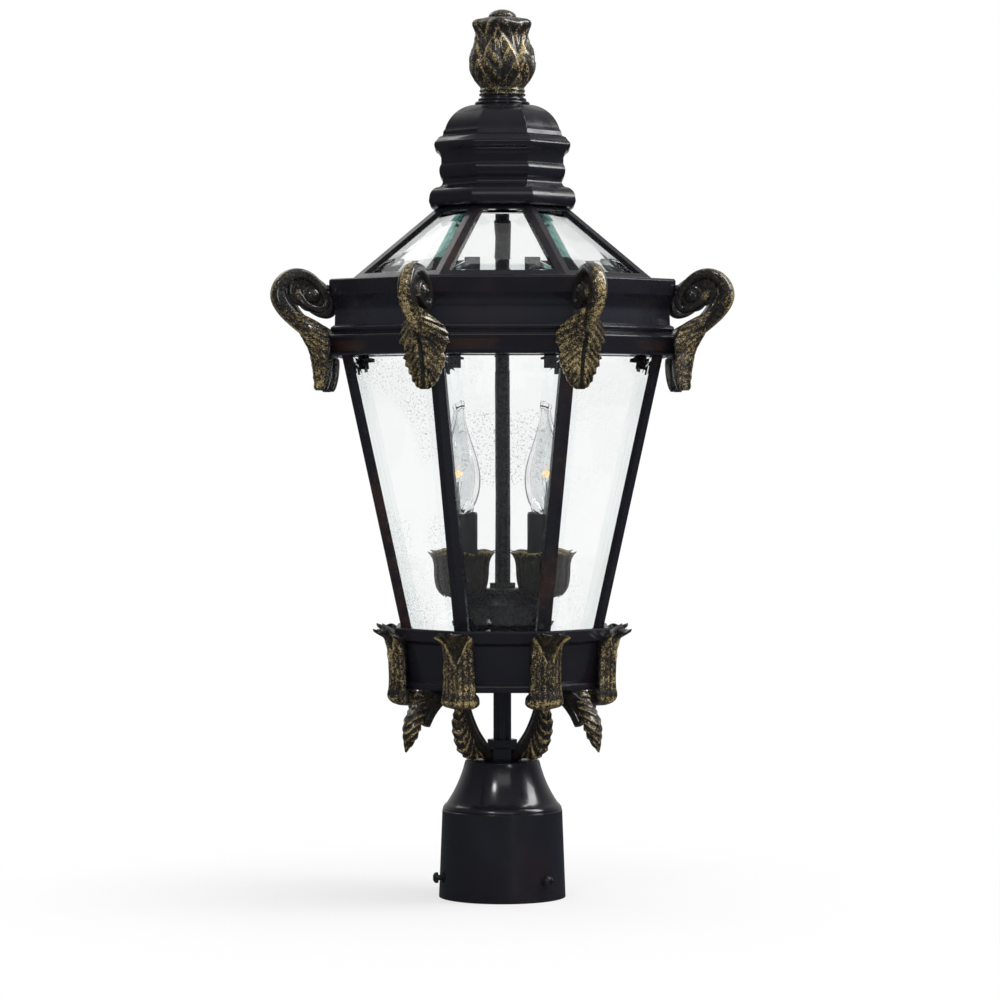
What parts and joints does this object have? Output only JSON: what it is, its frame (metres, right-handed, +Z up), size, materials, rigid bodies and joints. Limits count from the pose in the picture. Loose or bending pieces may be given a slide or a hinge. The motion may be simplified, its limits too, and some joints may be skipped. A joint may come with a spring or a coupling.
{
  "type": "post top lantern",
  "caption": "Eight-sided post top lantern with tapering bevelled panes, gilded corner scrolls, a lift-off glazed roof and a round post fitter.",
  "frame": {"origin": "centre of the fitter's rim, where the lantern meets its post", "axes": "+Z up along the post, -Y towards the side shown in the picture"},
  "size_m": [0.3338, 0.3338, 0.6552],
  "materials": {
    "black_bronze": "gloss",
    "gilt_bronze": "satin",
    "screw_black": "satin",
    "seeded_glass": "gloss",
    "clear_glass": "gloss",
    "candle_black": "satin",
    "socket_plastic": "matte",
    "lamp_brass": "satin",
    "bulb_glass": "gloss"
  },
  "bodies": {
    "lantern": {"post_fitter": "black_bronze", "arm_hub": "black_bronze", "hub_collar": "black_bronze", "lower_stem": "black_bronze", "center_rod": "black_bronze", "rod_nuts": "black_bronze", "scroll_arm_1": "gilt_bronze", "scroll_arm_2": "gilt_bronze", "scroll_arm_3": "gilt_bronze", "scroll_arm_4": "gilt_bronze", "gallery_pan": "black_bronze", "gallery_deck": "black_bronze", "gallery_leaf_1": "gilt_bronze", "gallery_leaf_2": "gilt_bronze", "gallery_leaf_3": "gilt_bronze", "gallery_leaf_4": "gilt_bronze", "gallery_leaf_5": "gilt_bronze", "gallery_leaf_6": "gilt_bronze", "gallery_leaf_7": "gilt_bronze", "gallery_leaf_8": "gilt_bronze", "corner_rails": "black_bronze", "glass_pane_1": "seeded_glass", "glass_pane_2": "seeded_glass", "glass_pane_3": "seeded_glass", "glass_pane_4": "seeded_glass", "glass_pane_5": "seeded_glass", "glass_pane_6": "seeded_glass", "glass_pane_7": "seeded_glass", "glass_pane_8": "seeded_glass", "glass_clips": "black_bronze", "cornice_ring": "black_bronze", "corner_scroll_1": "gilt_bronze", "corner_scroll_2": "gilt_bronze", "corner_scroll_3": "gilt_bronze", "corner_scroll_4": "gilt_bronze", "corner_scroll_5": "gilt_bronze", "corner_scroll_6": "gilt_bronze", "corner_scroll_7": "gilt_bronze", "corner_scroll_8": "gilt_bronze", "cluster_can": "black_bronze", "light_branches": "black_bronze", "light_cups": "gilt_bronze", "candle_sleeves": "candle_black", "lamp_sockets": "socket_plastic"},
    "roof": {"roof_frame": "black_bronze", "roof_panes": "clear_glass", "roof_clips": "black_bronze", "roof_cap": "black_bronze"},
    "finial_nut": {"finial": "gilt_bronze"},
    "screw_1": {"set_screw_1": "screw_black"},
    "screw_2": {"set_screw_2": "screw_black"},
    "screw_3": {"set_screw_3": "screw_black"},
    "bulb_1": {"bulb_cap_1": "lamp_brass", "bulb_glass_1": "bulb_glass"},
    "bulb_2": {"bulb_cap_2": "lamp_brass", "bulb_glass_2": "bulb_glass"},
    "bulb_3": {"bulb_cap_3": "lamp_brass", "bulb_glass_3": "bulb_glass"},
    "bulb_4": {"bulb_cap_4": "lamp_brass", "bulb_glass_4": "bulb_glass"}
  },
  "joints": [
    {"name": "roof_lift", "type": "slide", "parent": "lantern", "child": "roof", "axis": [0, 0, 1], "range_m": [0, 0.2]},
    {"name": "finial_turn", "type": "hinge", "parent": "roof", "child": "finial_nut", "pos_m": [0, 0, 0.592], "axis": [0, 0, 1], "continuous": true},
    {"name": "screw_1_travel", "type": "slide", "parent": "lantern", "child": "screw_1", "axis": [-0.9744, -0.225, 0], "range_m": [-0.0022, 0.008]},
    {"name": "screw_2_travel", "type": "slide", "parent": "lantern", "child": "screw_2", "axis": [0.682, -0.7314, 0], "range_m": [-0.0022, 0.008]},
    {"name": "screw_3_travel", "type": "slide", "parent": "lantern", "child": "screw_3", "axis": [0.2924, 0.9563, 0], "range_m": [-0.0022, 0.008]},
    {"name": "bulb_1_lift", "type": "slide", "parent": "lantern", "child": "bulb_1", "axis": [0, 0, 1], "range_m": [0, 0.03]},
    {"name": "bulb_2_lift", "type": "slide", "parent": "lantern", "child": "bulb_2", "axis": [0, 0, 1], "range_m": [0, 0.03]},
    {"name": "bulb_3_lift", "type": "slide", "parent": "lantern", "child": "bulb_3", "axis": [0, 0, 1], "range_m": [0, 0.03]},
    {"name": "bulb_4_lift", "type": "slide", "parent": "lantern", "child": "bulb_4", "axis": [0, 0, 1], "range_m": [0, 0.03]}
  ]
}
